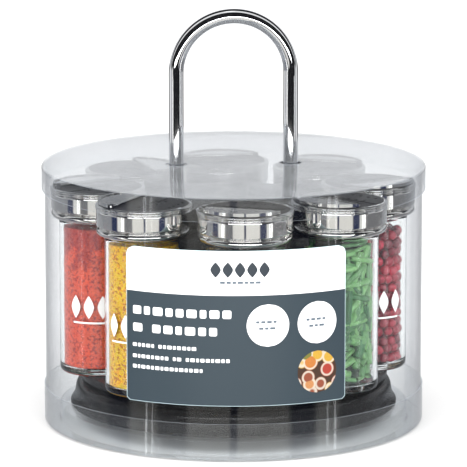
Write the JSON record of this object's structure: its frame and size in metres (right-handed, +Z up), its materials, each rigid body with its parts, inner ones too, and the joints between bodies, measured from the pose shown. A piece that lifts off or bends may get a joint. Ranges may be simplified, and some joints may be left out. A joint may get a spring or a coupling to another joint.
{
  "type": "spice carousel",
  "caption": "Turning spice rack with glass jars in chrome caps round a black core, a chrome carrying handle, and a clear display drum with a front label.",
  "frame": {"origin": "bottom centre of the clear display drum, on the surface it stands on", "axes": "+Z up along the turning axis, -Y towards the front label, +X to the label's right as it is read"},
  "size_m": [0.1824, 0.1824, 0.197],
  "materials": {
    "clear_sheet": "gloss",
    "clear_lid": "satin",
    "label": "satin",
    "black_plastic": "satin",
    "sifter_plastic": "matte",
    "glide_plastic": "satin",
    "steel": "satin",
    "chrome": "polished",
    "jar_glass": "polished",
    "spice_1": "matte",
    "spice_2": "matte",
    "spice_3": "matte",
    "spice_4": "matte",
    "spice_5": "matte",
    "spice_6": "matte",
    "spice_7": "matte",
    "spice_8": "matte"
  },
  "bodies": {
    "display_box": {"display_tray": "clear_sheet", "display_sleeve": "clear_sheet", "front_label": "label", "foot": "black_plastic", "glide_ring": "glide_plastic", "pivot_bolt": "steel"},
    "carousel": {"turntable": "black_plastic", "column": "black_plastic", "neck_plate": "black_plastic"},
    "lid": {"display_lid": "clear_lid"},
    "handle": {"handle": "chrome"},
    "jar_1": {"jar_1": "jar_glass", "spice_1": "spice_1"},
    "cap_1": {"cap_1": "chrome", "sifter_1": "sifter_plastic"},
    "flap_1": {"flap_1": "chrome"},
    "jar_2": {"jar_2": "jar_glass", "spice_2": "spice_2"},
    "cap_2": {"cap_2": "chrome", "sifter_2": "sifter_plastic"},
    "flap_2": {"flap_2": "chrome"},
    "jar_3": {"jar_3": "jar_glass", "spice_3": "spice_3"},
    "cap_3": {"cap_3": "chrome", "sifter_3": "sifter_plastic"},
    "flap_3": {"flap_3": "chrome"},
    "jar_4": {"jar_4": "jar_glass", "spice_4": "spice_4"},
    "cap_4": {"cap_4": "chrome", "sifter_4": "sifter_plastic"},
    "flap_4": {"flap_4": "chrome"},
    "jar_5": {"jar_5": "jar_glass", "spice_5": "spice_5"},
    "cap_5": {"cap_5": "chrome", "sifter_5": "sifter_plastic"},
    "flap_5": {"flap_5": "chrome"},
    "jar_6": {"jar_6": "jar_glass", "spice_6": "spice_6"},
    "cap_6": {"cap_6": "chrome", "sifter_6": "sifter_plastic"},
    "flap_6": {"flap_6": "chrome"},
    "jar_7": {"jar_7": "jar_glass", "spice_7": "spice_7"},
    "cap_7": {"cap_7": "chrome", "sifter_7": "sifter_plastic"},
    "flap_7": {"flap_7": "chrome"},
    "jar_8": {"jar_8": "jar_glass", "spice_8": "spice_8"},
    "cap_8": {"cap_8": "chrome", "sifter_8": "sifter_plastic"},
    "flap_8": {"flap_8": "chrome"}
  },
  "joints": [
    {"name": "carousel_spin", "type": "hinge", "parent": "display_box", "child": "carousel", "pos_m": [0, 0, 0.021], "axis": [0, 0, 1], "continuous": true},
    {"name": "lid_lift", "type": "slide", "parent": "carousel", "child": "lid", "axis": [0, 0, 1], "range_m": [0, 0.042]},
    {"name": "handle_pull", "type": "slide", "parent": "carousel", "child": "handle", "axis": [0, 0, 1], "range_m": [0, 0.03]},
    {"name": "jar_1_lift", "type": "slide", "parent": "carousel", "child": "jar_1", "axis": [0, 0, 1], "range_m": [0, 0.0065]},
    {"name": "cap_1_turn", "type": "hinge", "parent": "jar_1", "child": "cap_1", "pos_m": [0.0054, -0.06427, 0.105], "axis": [0, 0, 1], "range_deg": [0, 270]},
    {"name": "flap_1_open", "type": "hinge", "parent": "cap_1", "child": "flap_1", "pos_m": [0.00317, -0.07154, 0.114], "axis": [-0.9563, 0.2924, 0], "range_deg": [0, 28]},
    {"name": "jar_2_lift", "type": "slide", "parent": "carousel", "child": "jar_2", "axis": [0, 0, 1], "range_m": [0, 0.0065]},
    {"name": "cap_2_turn", "type": "hinge", "parent": "jar_2", "child": "cap_2", "pos_m": [0.04927, -0.04163, 0.105], "axis": [0, 0, 1], "range_deg": [0, 270]},
    {"name": "flap_2_open", "type": "hinge", "parent": "cap_2", "child": "flap_2", "pos_m": [0.04418, -0.04728, 0.114], "axis": [-0.7431, 0.6691, 0], "range_deg": [0, 28]},
    {"name": "jar_3_lift", "type": "slide", "parent": "carousel", "child": "jar_3", "axis": [0, 0, 1], "range_m": [0, 0.0065]},
    {"name": "cap_3_turn", "type": "hinge", "parent": "jar_3", "child": "cap_3", "pos_m": [0.06427, 0.0054, 0.105], "axis": [0, 0, 1], "range_deg": [0, 270]},
    {"name": "flap_3_open", "type": "hinge", "parent": "cap_3", "child": "flap_3", "pos_m": [0.06807, -0.00119, 0.114], "axis": [-0.866, -0.5, 0], "range_deg": [0, 28]},
    {"name": "jar_4_lift", "type": "slide", "parent": "carousel", "child": "jar_4", "axis": [0, 0, 1], "range_m": [0, 0.0065]},
    {"name": "cap_4_turn", "type": "hinge", "parent": "jar_4", "child": "cap_4", "pos_m": [0.04163, 0.04927, 0.105], "axis": [0, 0, 1], "range_deg": [0, 270]},
    {"name": "flap_4_open", "type": "hinge", "parent": "cap_4", "child": "flap_4", "pos_m": [0.0436, 0.05661, 0.114], "axis": [0.9659, -0.2588, 0], "range_deg": [0, 28]},
    {"name": "jar_5_lift", "type": "slide", "parent": "carousel", "child": "jar_5", "axis": [0, 0, 1], "range_m": [0, 0.0065]},
    {"name": "cap_5_turn", "type": "hinge", "parent": "jar_5", "child": "cap_5", "pos_m": [-0.0054, 0.06427, 0.105], "axis": [0, 0, 1], "range_deg": [0, 270]},
    {"name": "flap_5_open", "type": "hinge", "parent": "cap_5", "child": "flap_5", "pos_m": [-0.00672, 0.07176, 0.114], "axis": [0.9848, 0.1736, 0], "range_deg": [0, 28]},
    {"name": "jar_6_lift", "type": "slide", "parent": "carousel", "child": "jar_6", "axis": [0, 0, 1], "range_m": [0, 0.0065]},
    {"name": "cap_6_turn", "type": "hinge", "parent": "jar_6", "child": "cap_6", "pos_m": [-0.04927, 0.04163, 0.105], "axis": [0, 0, 1], "range_deg": [0, 270]},
    {"name": "flap_6_open", "type": "hinge", "parent": "cap_6", "child": "flap_6", "pos_m": [-0.04212, 0.04423, 0.114], "axis": [0.342, -0.9397, 0], "range_deg": [0, 28]},
    {"name": "jar_7_lift", "type": "slide", "parent": "carousel", "child": "jar_7", "axis": [0, 0, 1], "range_m": [0, 0.0065]},
    {"name": "cap_7_turn", "type": "hinge", "parent": "jar_7", "child": "cap_7", "pos_m": [-0.06427, -0.0054, 0.105], "axis": [0, 0, 1], "range_deg": [0, 270]},
    {"name": "flap_7_open", "type": "hinge", "parent": "cap_7", "child": "flap_7", "pos_m": [-0.06863, 0.00083, 0.114], "axis": [0.8192, 0.5736, 0], "range_deg": [0, 28]},
    {"name": "jar_8_lift", "type": "slide", "parent": "carousel", "child": "jar_8", "axis": [0, 0, 1], "range_m": [0, 0.0065]},
    {"name": "cap_8_turn", "type": "hinge", "parent": "jar_8", "child": "cap_8", "pos_m": [-0.04163, -0.04927, 0.105], "axis": [0, 0, 1], "range_deg": [0, 270]},
    {"name": "flap_8_open", "type": "hinge", "parent": "cap_8", "child": "flap_8", "pos_m": [-0.04852, -0.04605, 0.114], "axis": [0.4226, 0.9063, 0], "range_deg": [0, 28]}
  ]
}
